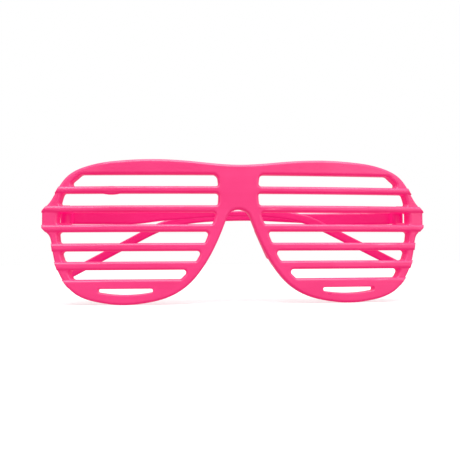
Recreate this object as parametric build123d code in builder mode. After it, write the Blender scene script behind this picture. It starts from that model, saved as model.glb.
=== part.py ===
from build123d import *
from math import asin, cos, degrees, radians, sin, tan
import os

os.makedirs("parts", exist_ok=True)

# Slatted novelty glasses, moulded in one colour, with the arms folded behind the front.
# Millimetres. +X is the viewer's right, +Y runs from the front face backwards, +Z is up as worn.
# The origin is the top of the nose arch, in the plane of the foremost point of the front.

# Driving dimensions
front_width = 148.4
brow_rise = 19.1
lens_drop = 36.0
front_depth = 4.6
wrap_radius = 610.0
hinge_inset = 8.0
temple_length = 137.4

half_width = front_width / 2
hinge_x = half_width - hinge_inset
overrun = 6.0
level_tolerance = 0.01
front_facing_share = 0.5
drawn_share = 0.9

# Edge roundings of the front moulding
front_edge_radius = 1.0
slot_corner_radius = 1.1
window_corner_radius = 2.0
end_corner_radius = 1.4

# Slats: places of their upper edges between the first one and the bottom blade, and their heights
brow_height = 5.7
first_gap = 4.6
blade_height = 9.58
slat_step_shares = (0, 0.2067, 0.4103, 0.6119, 0.8085, 1)
slat_height = 3.0
slat_height_shares = (0.85, 0.85, 0.93, 1.0, 1.07, 1.07)
slat_nose_radius = 1.15
slat_nose_depth = 2.6
slat_set_back = 0.1
slat_overhang = 0.15
slat_root = 2.0

# Side rims, set back behind the slats, and the slant of the lens openings' side walls
field_recess = 0.8
side_rim_width = 15.2
side_fall_width = 10.0
side_wall_slant = 1.0

# Crescent slots in the bottom blades
crescent_inset = 31.5
crescent_length = 20.4
crescent_rise = 6.1
crescent_end_height = 1.35
crescent_sag = 1.0
crescent_corner_radius = 0.6
crescent_edge_radius = 0.4

# Nose pads
pad_length = 14.0
pad_width = 3.2
pad_width_share = 0.14
pad_drop_share = 0.35
pad_lean = 66.0
pad_rise = 3.4
pad_root = 1.5
pad_edge_radius = 1.0

# Hinges: two lugs on the front, one knuckle on the arm, one steel pin
knuckle_radius = 2.2
knuckle_height = 4.2
knuckle_top = -0.5
lug_height = 2.2
lug_gap = 0.15
hinge_stop_gap = 0.06
hinge_seat_rise = 1.57
hinge_root = 3.4
pin_radius = 0.6
pin_seat_clearance = 0.02
pin_running_clearance = 0.06
pin_proud = 0.25
pin_end_chamfer = 0.15
end_block_inset = 2.0
end_block_foot = 0.9

# Arms
temple_tip_inset = 0.8
temple_thickness = 2.4
temple_tip_thickness = 2.1
temple_root_thickness = 4.2
temple_root_length = 7.0
temple_taper_length = 24.0
temple_top = 0.3
temple_height = 4.95
temple_foot_straight = 24.0
temple_bend_gap = 39.7
temple_bend_run = 11.7
temple_bend_drop = 5.04
temple_edge_radius = 0.75
temple_tip_radius = 1.7
ear_slope = 26.6
right_temple_fold = 4.4
right_temple_droop = 1.2

knuckle_bottom = knuckle_top - knuckle_height
lug_top = knuckle_top + lug_gap + lug_height
lug_bottom = knuckle_bottom - lug_gap - lug_height
brow_underside = brow_rise - brow_height
first_slat_top = brow_underside - first_gap
blade_top = blade_height - lens_drop
slat_tops = [first_slat_top + (blade_top - first_slat_top) * share for share in slat_step_shares]
slat_heights = [slat_height * share for share in slat_height_shares]
blade_split = blade_top - slat_heights[-1] / 2
side_fall_end = half_width - side_rim_width
side_fall_start = side_fall_end - side_fall_width
temple_outer_offset = hinge_inset
temple_bend = 2 * hinge_x - temple_bend_gap

# Outlines, as shares of the half width and of a height
brow_shares = ((0, 0.895), (0.243, 0.963), (0.445, 1.0), (0.62, 0.967), (0.768, 0.873),
               (0.883, 0.628), (0.967, 0.125))
end_top_share = -0.016
end_foot_share = 0.192
cheek_shares = ((0.969, 0.256), (0.949, 0.389), (0.906, 0.694), (0.823, 0.889), (0.701, 0.975),
                (0.593, 1.0), (0.478, 0.982), (0.364, 0.925), (0.2655, 0.806), (0.174, 0.583),
                (0.115, 0.361), (0.07, 0.136), (0.042, 0.031), (0, 0))
window_nose_shares = ((0.1145, -0.04), (0.1024, 0.2), (0.1105, 0.337), (0.16, 0.598), (0.2075, 0.799),
                      (0.2776, 0.965), (0.322, 1.04))
window_side_shares = ((0.78, -0.04), (0.822, 0.043), (0.868, 0.12), (0.8956, 0.219), (0.9124, 0.387),
                      (0.911, 0.59), (0.892, 0.776), (0.8477, 0.96), (0.822, 1.04))

# Arm outline, as shares of the length up to the bend and of the arm's height at the hinge
temple_crown_shares = ((0, 0), (0.649, 0.109), (0.866, 0.073), (0.978, -0.036), (1.038, -0.283))
temple_foot_shares = ((1.017, -0.909), (0.931, -0.566), (0.8436, -0.414), (0.735, -0.373),
                      (0.617, -0.423), (0.498, -0.586), (0.368, -0.788))


def wrap_at(x):
    """How far the wrapped front face lies behind its foremost point, at x from the middle."""
    return wrap_radius - (wrap_radius**2 - x**2) ** 0.5


def wrap_direction(x):
    """Direction of the wrapped face, seen from above, at x from the middle."""
    return ((wrap_radius**2 - x**2) ** 0.5, x)


def upper(shares):
    """Outline points above the nose arch."""
    return [(half_width * x, brow_rise * z) for x, z in shares]


def lower(shares):
    """Outline points below the nose arch."""
    return [(half_width * x, -lens_drop * z) for x, z in shares]


def window_points(shares):
    """Points of the lens opening, between the brow's underside and the bottom blade."""
    return [(half_width * x, brow_underside + (blade_top - brow_underside) * z) for x, z in shares]


def level_arc(x_from, x_to, depth):
    """Arc of the wrapped surface that lies a given depth behind the front face."""
    xs = (x_from, (x_from + x_to) / 2, x_to)
    return ThreePointArc(*[(x, wrap_at(x) + depth) for x in xs])


def level_step(x_from, depth_from, x_to, depth_to):
    """Smooth step of the wrapped surface from one depth to another."""
    return Spline(
        (x_from, wrap_at(x_from) + depth_from),
        (x_to, wrap_at(x_to) + depth_to),
        tangents=(wrap_direction(x_from), wrap_direction(x_to)),
    )


def border_edges(faces):
    """Edges that belong to just one of the faces, which is the border of the patch they form."""
    edges = [edge for face in faces for edge in face.edges()]
    return [edge for edge in edges if sum(edge.is_same(other) for other in edges) == 1]


def front_faces(part):
    """Faces of a part that look forwards."""
    return [face for face in part.faces() if face.normal_at(face.center()).Y < -front_facing_share]


def draw_edges(part):
    """Edges of a part that run from front to back, roughly in the direction the mould opens."""
    return [edge for edge in part.edges() if abs(edge.tangent_at().Y) > drawn_share]


hinge_seat_y = wrap_at(half_width) + front_depth + hinge_seat_rise
hinge_y = hinge_seat_y + hinge_stop_gap + knuckle_radius
reach = half_width + overrun
sheet_back = wrap_at(reach) + front_depth + overrun


# Front outline: brow, end piece, cheek, nose side and nose arch, mirrored
end_top = (half_width, brow_rise * end_top_share)
end_foot = (half_width, -lens_drop * end_foot_share)
brow = upper(brow_shares)
cheek = lower(cheek_shares)
end_slope = (end_top[0] - brow[-1][0], end_top[1] - brow[-1][1])
foot_slope = (cheek[0][0] - end_foot[0], cheek[0][1] - end_foot[1])
with BuildSketch() as front_outline:
    with BuildLine():
        Spline(*brow, tangents=((1, 0), end_slope))
        FilletPolyline(brow[-1], end_top, end_foot, cheek[0], radius=end_corner_radius)
        Spline(*cheek, tangents=(foot_slope, (-1, 0)))
        Line(cheek[-1], brow[0])
    make_face()
    mirror(about=Plane.YZ)


# Lens opening, right-hand side, which the slats cross. Its side wall slants: the hole is wider in front
window_back_y = wrap_at(hinge_x) + front_depth
with BuildPart() as window:
    for outline_y in (-overrun, sheet_back):
        side_shift = side_wall_slant * (window_back_y - outline_y) / front_depth
        with BuildSketch(Plane.XZ.offset(-outline_y)):
            nose_side = window_points(window_nose_shares)
            cheek_side = [(x + side_shift, z) for x, z in window_points(window_side_shares)]
            with BuildLine():
                Spline(*nose_side)
                Line(nose_side[-1], cheek_side[-1])
                Spline(*cheek_side)
                Line(cheek_side[0], nose_side[0])
            make_face()
    loft(ruled=True)


def make_slot(slot_foot, slot_top):
    """One gap between slats: a slice of the lens opening with rounded corners."""
    with BuildPart() as slot:
        add(window.part)
        with BuildSketch(Plane.XY.offset(slot_foot)):
            Rectangle(2 * reach, 2 * sheet_back)
        extrude(amount=slot_top - slot_foot, mode=Mode.INTERSECT)
        for level in (slot_foot, slot_top):
            corners = [
                edge for edge in draw_edges(slot.part) if abs(edge.center().Z - level) < level_tolerance
            ]
            fillet(corners, window_corner_radius if level == brow_underside else slot_corner_radius)
    return slot.part


slot_tops = [brow_underside] + [top - height for top, height in zip(slat_tops, slat_heights)]
slots = [make_slot(foot, top) for foot, top in zip(slat_tops, slot_tops)]

# Front plates: the upper one falls back at the sides, the lower one stays level with the slats
def make_plate(front_fall, overhang, openings):
    """The front's outline cut from a wrapped sheet, with its front edges rounded."""
    with BuildPart() as plate:
        with BuildSketch(Plane.XZ.offset(overrun)):
            add(front_outline.sketch)
            scale(by=1 + overhang / half_width)
        extrude(amount=-(overrun + sheet_back))
        with BuildSketch(Plane.XY.offset(-lens_drop - overrun)):
            with BuildLine():
                level_arc(0, side_fall_start, 0)
                level_step(side_fall_start, 0, side_fall_end, front_fall)
                level_arc(side_fall_end, reach, front_fall)
                Line((reach, wrap_at(reach) + front_fall), (reach, wrap_at(reach) + front_depth))
                level_arc(reach, 0, front_depth)
                Line((0, front_depth), (0, 0))
            make_face()
            mirror(about=Plane.YZ)
        extrude(amount=brow_rise + lens_drop + 2 * overrun, mode=Mode.INTERSECT)
        for opening in openings:
            add(opening, mode=Mode.SUBTRACT)
            mirror(opening, about=Plane.YZ, mode=Mode.SUBTRACT)
        fillet(border_edges(front_faces(plate.part)), front_edge_radius)
    return plate.part


with BuildPart() as upper_front:
    add(make_plate(field_recess, 0, slots))
    split(bisect_by=Plane.XY.offset(blade_split), keep=Keep.TOP)

with BuildPart() as lower_front:
    add(make_plate(0, 0, []))
    split(bisect_by=Plane.XY.offset(blade_split), keep=Keep.BOTTOM)
    crescent_middle_x = half_width - crescent_inset
    crescent_from = crescent_middle_x - crescent_length / 2
    crescent_to = crescent_middle_x + crescent_length / 2
    crescent_top_z = crescent_rise - lens_drop
    crescent_foot_z = crescent_top_z - crescent_end_height
    with BuildSketch(Plane.XZ.offset(overrun)) as crescent_face:
        with BuildLine():
            Polyline(
                (crescent_from, crescent_foot_z),
                (crescent_from, crescent_top_z),
                (crescent_to, crescent_top_z),
                (crescent_to, crescent_foot_z),
            )
            ThreePointArc(
                (crescent_to, crescent_foot_z),
                (crescent_middle_x, crescent_foot_z - crescent_sag),
                (crescent_from, crescent_foot_z),
            )
        make_face()
        fillet(crescent_face.vertices(), crescent_corner_radius)
        mirror(about=Plane.YZ)
    extrude(amount=-(overrun + sheet_back), mode=Mode.SUBTRACT)
    rims = [edge for edge in lower_front.edges(Select.LAST) if edge not in draw_edges(lower_front.part)]
    fillet([edge for edge in rims if edge.center().Y < front_depth], crescent_edge_radius)

# Slat noses: round-fronted bars that follow the wrap and run out over the side rim
nose_sweep = degrees(asin(reach / wrap_radius))
nose_start = radians(nose_sweep)
nose_plane = Plane(
    origin=(0, wrap_radius, 0),
    x_dir=(-sin(nose_start), -cos(nose_start), 0),
    z_dir=(-cos(nose_start), sin(nose_start), 0),
)
with BuildPart() as noses:
    with BuildSketch(nose_plane) as nose_section:
        for top, height in zip(slat_tops, slat_heights):
            with Locations((wrap_radius - slat_set_back - slat_nose_depth / 2, top - height / 2)):
                Rectangle(slat_nose_depth, height)
        fillet(nose_section.vertices().group_by(Axis.X)[-1], slat_nose_radius)
    revolve(axis=Axis((0, wrap_radius, 0), (0, 0, 1)), revolution_arc=2 * nose_sweep)

# The noses grow out of the slats where the sheet falls back, and end just past the side rims
with BuildPart() as slat_ends:
    add(make_plate(0, slat_overhang, []))
    add(noses.part, mode=Mode.INTERSECT)
    with BuildSketch(Plane.XY.offset(-lens_drop)):
        with Locations((side_fall_start - slat_root, 0)):
            Rectangle(reach, 2 * sheet_back, align=(Align.MIN, Align.CENTER))
    extrude(amount=lens_drop + brow_underside, mode=Mode.INTERSECT)

# End blocks: seats for the hinges and stops for the open arms
with BuildPart() as end_block:
    with BuildSketch(Plane.XZ.offset(-hinge_seat_y)):
        add(front_outline.sketch)
    extrude(amount=hinge_root)
    with BuildSketch(Plane.XY.offset(lug_bottom - end_block_foot)):
        with Locations((hinge_x + end_block_inset, 0)):
            Rectangle(reach, 2 * hinge_seat_y, align=(Align.MIN, Align.CENTER))
    extrude(amount=lug_top - lug_bottom + end_block_foot, mode=Mode.INTERSECT)

# Lugs above and below the arm's knuckle
with BuildPart() as lugs:
    for lug_foot in (lug_bottom, lug_top - lug_height):
        with BuildSketch(Plane.XY.offset(lug_foot)):
            with Locations((hinge_x, hinge_y)):
                Circle(knuckle_radius)
                Rectangle(
                    2 * knuckle_radius,
                    hinge_y - hinge_seat_y + hinge_root,
                    align=(Align.CENTER, Align.MAX),
                )
        extrude(amount=lug_height)

# Nose pads: long round-ended ribs behind the nose rims
with BuildPart() as nose_pad:
    with BuildSketch(Plane.XZ.offset(pad_root - front_depth)):
        with Locations((half_width * pad_width_share, -lens_drop * pad_drop_share)):
            SlotOverall(pad_length, pad_width, rotation=-pad_lean)
    extrude(amount=-(pad_root + pad_rise))
    fillet(nose_pad.faces().sort_by(Axis.Y)[-1].edges(), pad_edge_radius)

# Front moulding in one piece
with BuildPart() as front_frame:
    add(upper_front.part)
    add(lower_front.part)
    for member in (slat_ends, end_block, lugs, nose_pad):
        add(member.part)
        mirror(member.part, about=Plane.YZ)
    with BuildSketch(Plane.XY.offset(lug_bottom - pin_proud)):
        with Locations((hinge_x, hinge_y), (-hinge_x, hinge_y)):
            Circle(pin_radius + pin_seat_clearance)
    extrude(amount=lug_top - lug_bottom + 2 * pin_proud, mode=Mode.SUBTRACT)
front_frame.part.label = "front_frame"
export_step(front_frame.part, "parts/front_frame.step")


# Arms, drawn along +X from the hinge axis, with the thickness towards +Y
def make_arm(droop):
    """One arm with its knuckle, drooping by a small angle from the play of its hinge."""
    crown = [(temple_bend * x, temple_top + temple_height * z) for x, z in temple_crown_shares]
    foot = [(temple_bend * x, temple_top + temple_height * z) for x, z in temple_foot_shares]
    foot_straight = (temple_foot_straight, temple_top - temple_height)
    slope = radians(ear_slope)
    bend_end = (temple_bend + temple_bend_run, temple_top - temple_bend_drop)
    bend_foot = (bend_end[0], bend_end[1] - 2 * temple_tip_radius / cos(slope))
    tip_x = temple_length - temple_tip_radius
    tip_top_x = tip_x + temple_tip_radius * sin(slope)
    tip_top = (tip_top_x, bend_end[1] - (tip_top_x - bend_end[0]) * tan(slope))
    tip_z = tip_top[1] - temple_tip_radius * cos(slope)
    tip_end = (tip_x + temple_tip_radius * cos(slope), tip_z - temple_tip_radius * sin(slope))
    tip_foot = (tip_x - temple_tip_radius * sin(slope), tip_z - temple_tip_radius * cos(slope))
    root_x = -knuckle_radius
    root_inner = temple_outer_offset - temple_root_thickness
    taper_from = (temple_root_length, root_inner)
    taper_to = (temple_root_length + temple_taper_length, temple_outer_offset - temple_thickness)
    tip_outer = (temple_length, temple_outer_offset - temple_tip_inset)
    tip_inner = (temple_length, tip_outer[1] - temple_tip_thickness)
    blade_direction = (tip_inner[0] - taper_to[0], tip_inner[1] - taper_to[1])
    with BuildSketch() as side_view:
        with BuildLine():
            Line((root_x - overrun, temple_top), crown[0])
            Spline(*crown, bend_end, tip_top, tangents=((1, 0), (cos(slope), -sin(slope))))
            ThreePointArc(tip_top, tip_end, tip_foot)
            Spline(tip_foot, bend_foot, *foot, foot_straight, tangents=((-cos(slope), sin(slope)), (-1, 0)))
            Line(foot_straight, (root_x - overrun, foot_straight[1]))
            Line((root_x - overrun, foot_straight[1]), (root_x - overrun, temple_top))
        make_face()
    with BuildPart() as arm:
        with BuildSketch(Plane.XZ):
            add(side_view.sketch, rotation=-droop)
        extrude(amount=-2 * temple_outer_offset)
        with BuildSketch(Plane.XY.offset(-2 * lens_drop)):
            with BuildLine():
                Line((root_x, root_inner), taper_from)
                Spline(taper_from, taper_to, tangents=((1, 0), blade_direction))
                Line(taper_to, tip_inner)
                Line(tip_inner, tip_outer)
                Line(tip_outer, (root_x, temple_outer_offset))
                Line((root_x, temple_outer_offset), (root_x, root_inner))
            make_face()
        extrude(amount=4 * lens_drop, mode=Mode.INTERSECT)
        sides = [face for face in arm.faces() if abs(face.normal_at(face.center()).Y) > drawn_share]
        rims = [edge for edge in border_edges(sides) if edge.center().X > root_x + level_tolerance]
        fillet(rims, temple_edge_radius)
        with BuildSketch(Plane.XY.offset(knuckle_bottom)):
            Circle(knuckle_radius)
            Rectangle(
                2 * knuckle_radius,
                root_inner + temple_edge_radius,
                align=(Align.CENTER, Align.MIN),
            )
        extrude(amount=knuckle_height)
        with BuildSketch(Plane.XY.offset(knuckle_bottom)):
            Circle(pin_radius + pin_running_clearance)
        extrude(amount=knuckle_height, mode=Mode.SUBTRACT)
    return arm.part


inner_arm = make_arm(0)
with BuildPart() as left_temple:
    with Locations((-hinge_x, hinge_y)):
        add(inner_arm)
left_temple.part.label = "left_temple"
export_step(left_temple.part, "parts/left_temple.step")

outer_arm = mirror(make_arm(right_temple_droop), about=Plane.YZ)
with BuildPart() as right_temple:
    with Locations((hinge_x, hinge_y)):
        add(outer_arm, rotation=(0, 0, -right_temple_fold))
right_temple.part.label = "right_temple"
export_step(right_temple.part, "parts/right_temple.step")

# Hinge pins
def make_pin(pin_x):
    """Steel pin through both lugs and the knuckle, with chamfered ends."""
    with BuildPart() as pin:
        with BuildSketch(Plane.XY.offset(lug_bottom - pin_proud)):
            with Locations((pin_x, hinge_y)):
                Circle(pin_radius)
        extrude(amount=lug_top - lug_bottom + 2 * pin_proud)
        chamfer(pin.edges().filter_by(GeomType.CIRCLE), pin_end_chamfer)
    return pin.part


left_hinge_pin = make_pin(-hinge_x)
left_hinge_pin.label = "left_hinge_pin"
export_step(left_hinge_pin, "parts/left_hinge_pin.step")

right_hinge_pin = make_pin(hinge_x)
right_hinge_pin.label = "right_hinge_pin"
export_step(right_hinge_pin, "parts/right_hinge_pin.step")
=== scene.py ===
import bpy
import numpy as np
from mathutils import Matrix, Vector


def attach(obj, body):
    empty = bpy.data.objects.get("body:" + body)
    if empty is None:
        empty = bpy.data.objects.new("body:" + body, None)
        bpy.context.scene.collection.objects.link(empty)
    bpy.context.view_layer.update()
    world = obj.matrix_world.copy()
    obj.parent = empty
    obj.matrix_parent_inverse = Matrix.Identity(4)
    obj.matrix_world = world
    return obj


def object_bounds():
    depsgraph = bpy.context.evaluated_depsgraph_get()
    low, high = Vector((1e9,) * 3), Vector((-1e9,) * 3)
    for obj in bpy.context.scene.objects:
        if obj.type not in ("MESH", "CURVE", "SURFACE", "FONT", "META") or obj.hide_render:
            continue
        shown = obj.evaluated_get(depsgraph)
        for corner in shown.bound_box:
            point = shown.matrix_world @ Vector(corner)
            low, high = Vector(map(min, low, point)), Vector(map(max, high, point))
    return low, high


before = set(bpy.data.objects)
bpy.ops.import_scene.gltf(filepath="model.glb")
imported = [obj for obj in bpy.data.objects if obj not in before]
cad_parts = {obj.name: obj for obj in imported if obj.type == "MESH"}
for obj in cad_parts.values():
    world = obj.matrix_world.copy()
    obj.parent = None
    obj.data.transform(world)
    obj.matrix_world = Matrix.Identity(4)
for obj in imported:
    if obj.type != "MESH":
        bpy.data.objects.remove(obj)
cad_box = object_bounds()

# Front: one injection-moulded piece of neon pink plastic, with the slats, nose pads and hinge lugs
# on it. The mould is polished in front, so the plastic is glossy, with slight flow streaks, a faint
# ripple and a thin flash line where the two halves of the mould met. A painted glow, a constant
# emission, keeps its red bright where it is in shade.


class Shade:
    """A socket in a material's node tree. Sums and products of sockets add their Math nodes."""

    def __init__(self, tree, socket=None):
        self.tree = tree
        self.socket = socket

    def node(self, kind, settings, sockets, output=0):
        """Adds a node: its settings first, then a value or a link for each of its sockets."""
        made = self.tree.nodes.new("ShaderNode" + kind)
        for name, value in settings.items():
            if name == "stops":
                self.set_stops(made.color_ramp, value)
            else:
                setattr(made, name, value)
        for name, value in sockets.items():
            if isinstance(value, Shade):
                self.tree.links.new(value.socket, made.inputs[name])
            else:
                made.inputs[name].default_value = value
        return Shade(self.tree, made.outputs[output])

    @staticmethod
    def set_stops(ramp, stops):
        """Sets a colour ramp's stops from pairs of a position and a grey value."""
        while len(ramp.elements) < len(stops):
            ramp.elements.new(1)
        for element, (position, grey) in zip(ramp.elements, stops):
            element.position = position
            element.color = (grey, grey, grey, 1)

    def sum_node(self, operation, first, second):
        return self.node("Math", {"operation": operation}, {0: first, 1: second})

    def __add__(self, other):
        return self.sum_node("ADD", self, other)

    __radd__ = __add__

    def __sub__(self, other):
        return self.sum_node("SUBTRACT", self, other)

    def __rsub__(self, other):
        return self.sum_node("SUBTRACT", other, self)

    def __mul__(self, other):
        return self.sum_node("MULTIPLY", self, other)

    __rmul__ = __mul__

    def __truediv__(self, other):
        return self.sum_node("DIVIDE", self, other)

    def __abs__(self):
        return self.node("Math", {"operation": "ABSOLUTE"}, {0: self})

    def root(self):
        return self.node("Math", {"operation": "SQRT"}, {0: self})

    def fade(self, low, high):
        """0 up to low, 1 from high on, and a smooth step between them."""
        ends = {"Value": self, "From Min": low, "From Max": high}
        return self.node("MapRange", {"interpolation_type": "SMOOTHSTEP"}, ends)


def noise(shade, where, scale, detail=2.0, roughness=0.5):
    """Fractal noise of about 0 to 1 at a number of waves per metre."""
    return shade.node(
        "TexNoise",
        {"noise_dimensions": "3D"},
        {"Vector": where, "Scale": scale, "Detail": detail, "Roughness": roughness},
    )


# Fine marks of the plastic, in metres: how far the gate's bright spot and the flash line reach, and how
# high or deep each mark is.
gate_reach = (0.002, 0.02)
flash_edge = (0.00003, 0.00011)
flash_height = 0.00005
ripple_height = 0.00012
peel_height = 0.000004
scuff_depth = 0.000005
dent_depth = 0.00016


def neon_plastic(name, deep, bright, painted_glow_deep, painted_glow_bright, gate, flash, dents=None):
    """Glossy neon plastic. Its red is held up by a painted glow: a constant emission, from
    painted_glow_deep to painted_glow_bright, that does not follow the light falling on it. gate is the
    point the melt came in at. flash gives the flash line's distance from a point, in x, y and z, and
    dents gives how far the ejector pins' marks are sunk there, from 0 to 1."""
    material = bpy.data.materials.new(name)
    material.use_nodes = True
    tree = material.node_tree
    shader = tree.nodes["Principled BSDF"]
    shader.inputs["IOR"].default_value = 1.54
    shader.inputs["Specular IOR Level"].default_value = 0.4
    shader.inputs["Emission Strength"].default_value = 1.0
    shader.inputs["Coat Roughness"].default_value = 0.08
    shade = Shade(tree)
    where = shade.node("TexCoord", {}, {}, output=3)
    x, y, z = [shade.node("SeparateXYZ", {}, {"Vector": where}, output=k) for k in range(3)]
    cloud = noise(shade, where, scale=42.0, detail=3.0)
    streak_at = shade.node("Mapping", {}, {"Vector": where, "Scale": (18.0, 90.0, 260.0)})
    streak = noise(shade, streak_at, scale=1.0, detail=3.0, roughness=0.6)
    from_gate = shade.node("VectorMath", {"operation": "DISTANCE"}, {0: where, 1: gate}, output=1)
    near_gate = 1 - from_gate.fade(gate_reach[0], gate_reach[1])
    tint = cloud * 0.6 + streak * 0.4 - near_gate * 0.25
    mixed = shade.node(
        "Mix",
        {"data_type": "RGBA"},
        {0: tint.fade(0.3, 0.7), 6: (*deep, 1), 7: (*bright, 1)},
        output=2,
    )
    tree.links.new(mixed.socket, shader.inputs["Base Color"])
    # Painted glow: a constant emission, lit by nothing, that keeps the plastic's red bright in shade.
    painted_glow = shade.node(
        "Mix",
        {"data_type": "RGBA"},
        {0: tint.fade(0.2, 0.8), 6: (*painted_glow_deep, 1), 7: (*painted_glow_bright, 1)},
        output=2,
    )
    tree.links.new(painted_glow.socket, shader.inputs["Emission Color"])
    smudge = noise(shade, where, scale=150.0, detail=4.0, roughness=0.62).fade(0.42, 0.72)
    scuff_at = shade.node(
        "Mapping",
        {},
        {"Vector": where, "Rotation": (0.3, 0.8, 0.2), "Scale": (2600.0, 90.0, 2600.0)},
    )
    scuff = noise(shade, scuff_at, scale=1.0).fade(0.66, 0.74)
    rough = 0.26 + smudge * 0.09 + scuff * 0.1 + streak * 0.04
    tree.links.new(rough.socket, shader.inputs["Roughness"])
    coat = 0.2 - smudge * 0.12
    tree.links.new(coat.socket, shader.inputs["Coat Weight"])
    line = 1 - flash(x, y, z).fade(flash_edge[0], flash_edge[1])
    ripple = noise(shade, where, scale=95.0, detail=1.0)
    peel = noise(shade, where, scale=1500.0, detail=1.0)
    waves = ripple * ripple_height + peel * peel_height
    relief = waves - scuff * scuff_depth + line * flash_height
    if dents is not None:
        relief = relief - dents(x, y, z) * dent_depth
    bump = shade.node("Bump", {}, {"Strength": 1.0, "Distance": 1.0, "Height": relief})
    tree.links.new(bump.socket, shader.inputs["Normal"])
    return material


wrap_radius = 0.610
flash_depth = 0.0024


def front_flash(x, y, z):
    """How far a point is from the wrapped surface at which the mould parts, behind the front face."""
    behind = y - (wrap_radius - (wrap_radius**2 - x * x).root())
    return abs(behind - flash_depth)


# The pins that push the front out of its mould leave round dents in its back: on the brow, on the
# bridge and on the bottom blades. Each is a middle in x and z and a radius.
pin_marks = (
    (0.0, 0.0085, 0.0021),
    (0.025, 0.0163, 0.0017),
    (0.050, 0.0158, 0.0017),
    (0.0427, -0.0282, 0.0012),
)
back_start = 0.0036
back_blend = 0.0004
dent_edge = 0.00022


def pin_dents(x, y, z):
    """How far a point of the front's back lies in a dent, from 0 to 1."""
    behind = y - (wrap_radius - (wrap_radius**2 - x * x).root())
    sunk = 0.0
    for middle_x, middle_z, radius in pin_marks:
        beside = abs(x) - middle_x
        above = z - middle_z
        reach = (beside * beside + above * above).root()
        sunk = (1 - reach.fade(radius - dent_edge, radius)) + sunk
    return sunk * behind.fade(back_start, back_start + back_blend)


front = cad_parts["front_frame"]
front.data.materials.clear()
front.data.materials.append(
    neon_plastic(
        "neon front plastic",
        deep=(0.25, 0.036, 0.100),
        bright=(0.27, 0.048, 0.124),
        painted_glow_deep=(0.68, 0.0, 0.098),
        painted_glow_bright=(0.71, 0.001, 0.110),
        gate=(-0.0481, 0.0, 0.0074),
        flash=front_flash,
        dents=pin_dents,
    )
)

# Gate mark: a low swelling of the top slat, on the viewer's left, where the melt ran in. It is part of
# the same moulding, and wraps the slat like a thin sleeve that fades out at both ends.
swelling_x = -0.0481
swelling_z = 0.00727
swelling_half = np.array([0.0048, 0.00150, 0.00162])
swelling_back = 0.00165
swelling_squareness = 0.6
rings = np.linspace(0, np.pi, 33)[1:-1]
turns = np.linspace(0, 2 * np.pi, 48, endpoint=False)


def swelling_mesh(name):
    """Closed sleeve: x = -a cos r, and across it an oval of half sizes b sin r and c sin r, with a
    squarer section than an ellipse: the cosine and sine of the turn, each to the power 0.6 with its
    sign kept. The whole follows the front's wrap, y = R - root(R^2 - x^2)."""
    across = np.sign(np.cos(turns)) * np.abs(np.cos(turns)) ** swelling_squareness
    upright = np.sign(np.sin(turns)) * np.abs(np.sin(turns)) ** swelling_squareness
    swell = np.sin(rings)[:, None]
    level = swelling_x - swelling_half[0] * np.cos(rings)[:, None]
    x = np.broadcast_to(level, (len(rings), len(turns)))
    wrap = wrap_radius - np.sqrt(wrap_radius**2 - x**2)
    y = wrap + swelling_back + swelling_half[1] * swell * across
    z = swelling_z + swelling_half[2] * swell * upright
    tip_x = swelling_x + swelling_half[0] * np.array([-1, 1])
    tip_y = wrap_radius - np.sqrt(wrap_radius**2 - tip_x**2) + swelling_back
    tips = np.column_stack([tip_x, tip_y, np.full(2, swelling_z)])
    points = np.concatenate([np.stack([x, y, z], axis=-1).reshape(-1, 3), tips])
    index = np.arange(len(rings) * len(turns)).reshape(len(rings), len(turns))
    beside = np.roll(index, -1, axis=1)
    walls = np.stack([index[:-1], index[1:], beside[1:], beside[:-1]], axis=-1).reshape(-1, 4)
    first = [(len(points) - 2, int(a), int(b)) for a, b in zip(index[0], beside[0])]
    last = [(len(points) - 1, int(b), int(a)) for a, b in zip(index[-1], beside[-1])]
    mesh = bpy.data.meshes.new(name)
    mesh.from_pydata(points, [], walls.tolist() + first + last)
    mesh.shade_smooth()
    return mesh


swelling = bpy.data.objects.new("gate_swelling", swelling_mesh("gate_swelling"))
bpy.context.scene.collection.objects.link(swelling)
swelling.data.materials.append(front.data.materials[0])
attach(swelling, "front")

# Arms: two mouldings of the same plastic, flat on the inside and slightly crowned outside, with a
# knuckle at one end and a bend for the ear. Their flash line runs along the middle of the edges.
# The arms' painted glow is a little bluer than the front's, so that they stay magenta where the front
# shades them.
arm_colour_and_painted_glow = {
    "deep": (0.25, 0.028, 0.095),
    "bright": (0.27, 0.036, 0.120),
    "painted_glow_deep": (0.68, 0.0, 0.112),
    "painted_glow_bright": (0.71, 0.001, 0.126),
}
hinge_x = 0.0662
hinge_y = 0.01296
arm_middle = 0.00686
arm_taper = 0.0052


def left_flash(x, y, z):
    """Distance from the upright plane along the middle of the inner arm, which thins to its tip."""
    return abs(y - hinge_y - arm_middle + (x + hinge_x) * arm_taper)


left_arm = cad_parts["left_temple"]
left_arm.data.materials.clear()
left_arm.data.materials.append(
    neon_plastic("neon left arm plastic", gate=(-0.055, 0.02, -0.003), flash=left_flash, **arm_colour_and_painted_glow)
)

fold = np.radians(4.4)


def right_flash(x, y, z):
    """Distance from the upright plane along the middle of the outer arm, folded 4.4 degrees over."""
    along = (hinge_x - x) * np.cos(fold) + (y - hinge_y) * np.sin(fold)
    across = (x - hinge_x) * np.sin(fold) + (y - hinge_y) * np.cos(fold)
    return abs(across - arm_middle + along * arm_taper)


right_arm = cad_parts["right_temple"]
right_arm.data.materials.clear()
right_arm.data.materials.append(
    neon_plastic("neon right arm plastic", gate=(0.055, 0.02, -0.003), flash=right_flash, **arm_colour_and_painted_glow)
)

# Hinge pins: short lengths of drawn steel wire, pressed through the lugs and the arm's knuckle. The
# die leaves fine lines along the wire, and its cut ends are duller.
pin_middle = -0.0026
pin_half_length = 0.0047
pin_end_blend = 0.0002
drawn_line_height = 0.000004


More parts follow.
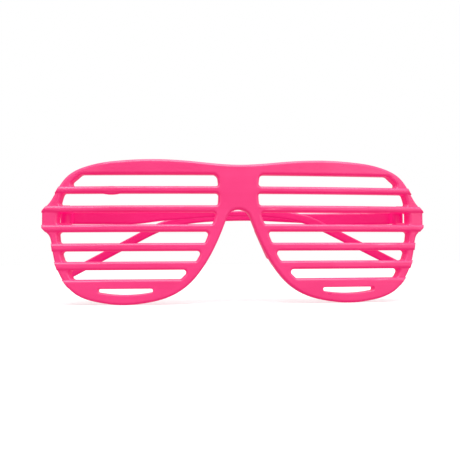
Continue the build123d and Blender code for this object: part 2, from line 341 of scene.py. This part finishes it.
def drawn_steel(name, centre):
    """Bright wire with fine lines along its length and a rougher, darker cut face. centre is the
    height of the pin's middle."""
    material = bpy.data.materials.new(name)
    material.use_nodes = True
    tree = material.node_tree
    shader = tree.nodes["Principled BSDF"]
    shader.inputs["Metallic"].default_value = 1.0
    shade = Shade(tree)
    where = shade.node("TexCoord", {}, {}, output=3)
    along = shade.node("Mapping", {}, {"Vector": where, "Scale": (9000.0, 9000.0, 300.0)})
    lines = noise(shade, along, scale=1.0)
    z = shade.node("SeparateXYZ", {}, {"Vector": where}, output=2)
    end = abs(z - centre).fade(pin_half_length - pin_end_blend, pin_half_length)
    colour = shade.node(
        "Mix",
        {"data_type": "RGBA"},
        {0: lines * 0.6 + end * 0.4, 6: (0.62, 0.62, 0.64, 1), 7: (0.34, 0.34, 0.36, 1)},
        output=2,
    )
    tree.links.new(colour.socket, shader.inputs["Base Color"])
    rough = 0.24 + lines * 0.14 + end * 0.2
    tree.links.new(rough.socket, shader.inputs["Roughness"])
    relief = lines * drawn_line_height
    bump = shade.node("Bump", {}, {"Strength": 1.0, "Distance": 1.0, "Height": relief})
    tree.links.new(bump.socket, shader.inputs["Normal"])
    return material


for side in ("left", "right"):
    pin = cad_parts[side + "_hinge_pin"]
    pin.data.materials.clear()
    pin.data.materials.append(drawn_steel(side + " drawn steel", pin_middle))

# Floor: a wide sheet of white paper. The camera sees the object's soft shadow on it near the object,
# and full white further out.
floor_z = cad_box[0][2]
floor_half_width = 4.0
floor_corners = [
    (-floor_half_width, -floor_half_width, floor_z),
    (floor_half_width, -floor_half_width, floor_z),
    (floor_half_width, floor_half_width, floor_z),
    (-floor_half_width, floor_half_width, floor_z),
]
floor_mesh = bpy.data.meshes.new("paper floor")
floor_mesh.from_pydata(floor_corners, [], [(0, 1, 2, 3)])
floor = bpy.data.objects.new("paper floor", floor_mesh)
bpy.context.scene.collection.objects.link(floor)
paper = bpy.data.materials.new("white paper")
paper.use_nodes = True
paper_shader = paper.node_tree.nodes["Principled BSDF"]
paper_shader.inputs["Roughness"].default_value = 0.9
paper_shader.inputs["Specular IOR Level"].default_value = 0.1
paper_shader.inputs["Emission Strength"].default_value = 1.0
paper_shade = Shade(paper.node_tree)
seen = paper_shade.node("LightPath", {}, {}, output=0)
paper_colour = paper_shade.node(
    "Mix",
    {"data_type": "RGBA"},
    {0: seen, 6: (0.16, 0.16, 0.16, 1), 7: (0.40, 0.40, 0.40, 1)},
    output=2,
)
paper.node_tree.links.new(paper_colour.socket, paper_shader.inputs["Base Color"])
paper_where = paper_shade.node("TexCoord", {}, {}, output=3)
from_middle = paper_shade.node("VectorMath", {"operation": "LENGTH"}, {0: paper_where}, output=1)
paper_glow = paper_shade.node(
    "Mix",
    {"data_type": "RGBA"},
    {0: from_middle.fade(0.25, 0.9), 6: (0.60, 0.60, 0.60, 1), 7: (1, 1, 1, 1)},
    output=2,
)
glow_seen = paper_shade.node(
    "Mix", {"data_type": "RGBA"}, {0: seen, 6: (0, 0, 0, 1), 7: paper_glow}, output=2
)
paper.node_tree.links.new(glow_seen.socket, paper_shader.inputs["Emission Color"])
floor.data.materials.append(paper)

# Light: a wide soft box overhead, two weaker ones in front at the right and the left, and a white room
# that is darker near the floor. The camera sees the room itself at full white.
world = bpy.data.worlds.new("white room")
world.use_nodes = True
room = Shade(world.node_tree)
upwards = room.node("SeparateXYZ", {}, {"Vector": room.node("TexCoord", {}, {}, output=0)}, output=2)
room_seen = room.node("LightPath", {}, {}, output=0)
room_light = (0.08 + upwards.fade(-0.3, 0.8) * 0.5) * (1 - room_seen) + room_seen
world.node_tree.links.new(room_light.socket, world.node_tree.nodes["Background"].inputs["Strength"])
world.node_tree.nodes["Background"].inputs["Color"].default_value = (1, 1, 1, 1)
bpy.context.scene.world = world


def soft_box(name, place, aim, size, power):
    """Square area lamp at a place, turned towards a point."""
    lamp = bpy.data.lights.new(name, "AREA")
    lamp.size = size
    lamp.energy = power
    made = bpy.data.objects.new(name, lamp)
    back = np.subtract(place, aim)
    back = back / np.linalg.norm(back)
    side = np.cross((0, 1, 0), back)
    side = side / np.linalg.norm(side)
    turned = Matrix(np.column_stack([side, np.cross(back, side), back]).tolist()).to_4x4()
    made.matrix_world = Matrix.Translation(place) @ turned
    bpy.context.scene.collection.objects.link(made)


soft_box("overhead box", place=(0.0, -0.30, 0.70), aim=(0, 0, 0), size=0.8, power=10.5)
soft_box("right box", place=(0.75, -0.80, 0.40), aim=(0, 0, 0), size=1.2, power=4.6)
soft_box("left box", place=(-0.80, -0.90, 0.50), aim=(0, 0, 0), size=0.8, power=2.2)

# Camera: stands a little to the left and below the middle of the slats, and looks slightly up.
view_distance = 0.260
view_turn = np.radians(5.70)
view_rise = np.radians(2.57)
view_roll = np.radians(-0.32)
view_middle = np.array([0.0, 0.002, -0.0087])
ahead = np.array(
    [np.sin(view_turn) * np.cos(view_rise), np.cos(view_turn) * np.cos(view_rise), np.sin(view_rise)]
)
level_side = np.array([np.cos(view_turn), -np.sin(view_turn), 0.0])
level_up = np.cross(level_side, ahead)
view_side = np.cos(view_roll) * level_side + np.sin(view_roll) * level_up
view_up = np.cos(view_roll) * level_up - np.sin(view_roll) * level_side
camera_data = bpy.data.cameras.new("camera")
camera_data.sensor_width = 36.0
camera_data.lens = 53.25
camera_data.shift_x = -0.0187
camera_data.shift_y = 0.0049
camera_data.clip_start = 0.01
camera = bpy.data.objects.new("camera", camera_data)
turned = Matrix(np.column_stack([view_side, view_up, -ahead]).tolist()).to_4x4()
camera.matrix_world = Matrix.Translation(view_middle - view_distance * ahead) @ turned
bpy.context.scene.collection.objects.link(camera)
bpy.context.scene.camera = camera
bpy.context.scene.view_settings.view_transform = "Standard"
